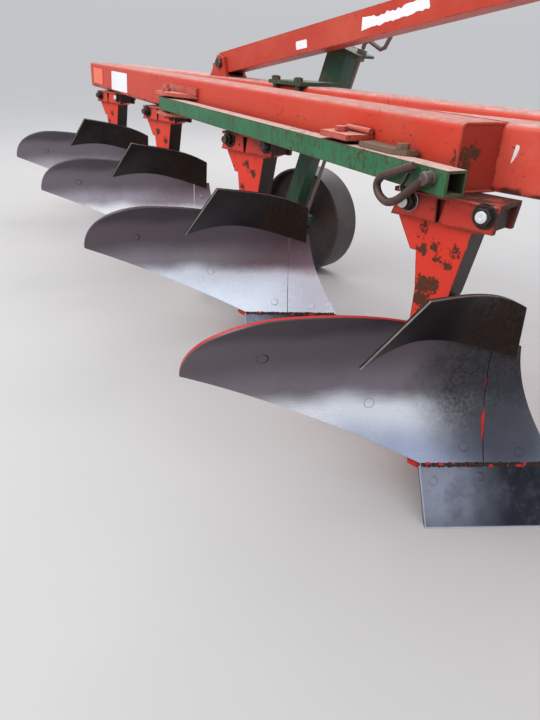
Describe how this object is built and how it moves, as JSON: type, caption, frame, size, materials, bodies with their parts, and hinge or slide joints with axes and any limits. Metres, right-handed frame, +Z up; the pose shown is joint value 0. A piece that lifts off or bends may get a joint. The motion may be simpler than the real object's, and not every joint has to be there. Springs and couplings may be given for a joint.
{
  "type": "moldboard plough",
  "caption": "Mounted moldboard plough: oblique beam with plough bodies, three-point hitch, strut, depth wheel, parking stand and swing-out packer arm.",
  "frame": {"origin": "middle of the whole plough's box at floor level, where the floor is the plane of the share edges", "axes": "+X is the direction of travel, towards the hitch; +Y is to the left, the unploughed land; +Z is up"},
  "size_m": [3.734, 1.685, 1.211],
  "materials": {
    "red_paint": "worn orange-red paint",
    "green_paint": "scratched green paint",
    "grey_paint": "weathered grey paint",
    "ground_steel": "polished by the soil",
    "dark_steel": "dark bare steel",
    "bolt_steel": "dull steel",
    "rusted_steel": "rusted rod"
  },
  "bodies": {
    "frame": {"main_beam": "red_paint", "side_beam": "red_paint", "inner_beam": "red_paint", "front_beam": "red_paint", "frame_brace": "red_paint", "mast": "red_paint", "hitch_lugs": "red_paint", "hitch_shaft": "bolt_steel", "strut": "red_paint", "strut_foot": "red_paint", "strut_pins": "bolt_steel", "leg_bracket_0": "red_paint", "leg_bracket_1": "red_paint", "leg_bracket_2": "red_paint", "leg_bracket_3": "red_paint", "leg_0": "red_paint", "leg_1": "red_paint", "leg_2": "red_paint", "leg_3": "red_paint", "leg_bolts": "bolt_steel", "frogs": "red_paint", "share_0": "ground_steel", "share_1": "ground_steel", "share_2": "ground_steel", "share_3": "ground_steel", "moldboard_0": "ground_steel", "moldboard_1": "ground_steel", "moldboard_2": "ground_steel", "moldboard_3": "ground_steel", "shin_pieces": "ground_steel", "trashboard_0": "dark_steel", "trashboard_1": "dark_steel", "trashboard_2": "dark_steel", "trashboard_3": "dark_steel", "landsides": "dark_steel", "tail_braces": "red_paint", "arm_bracket": "red_paint", "arm_catch": "red_paint", "wheel_clamp": "green_paint", "wheel_guide": "green_paint", "wheel_screw": "bolt_steel", "stand_sleeve": "red_paint"},
    "packer_arm": {"packer_arm": "green_paint", "arm_lock_plate": "bolt_steel", "arm_hook": "rusted_steel", "hook_latch": "bolt_steel"},
    "wheel_leg": {"wheel_leg": "green_paint"},
    "depth_wheel": {"wheel_disc": "grey_paint", "wheel_rim": "dark_steel"},
    "stand": {"stand_leg": "red_paint"}
  },
  "joints": [
    {"name": "packer_arm_swing", "type": "hinge", "parent": "frame", "child": "packer_arm", "pos_m": [-0.41978, 0.08428, 0.6585], "axis": [0, 0, 1], "range_deg": [-90, 0]},
    {"name": "wheel_depth", "type": "slide", "parent": "frame", "child": "wheel_leg", "axis": [0.309, 0, 0.9511], "range_m": [0, 0.2]},
    {"name": "wheel_spin", "type": "hinge", "parent": "wheel_leg", "child": "depth_wheel", "pos_m": [-0.07804, 0.55791, 0.215], "axis": [0, 1, 0], "continuous": true},
    {"name": "stand_slide", "type": "slide", "parent": "frame", "child": "stand", "axis": [0, 0, 1], "range_m": [0, 0.4]}
  ]
}
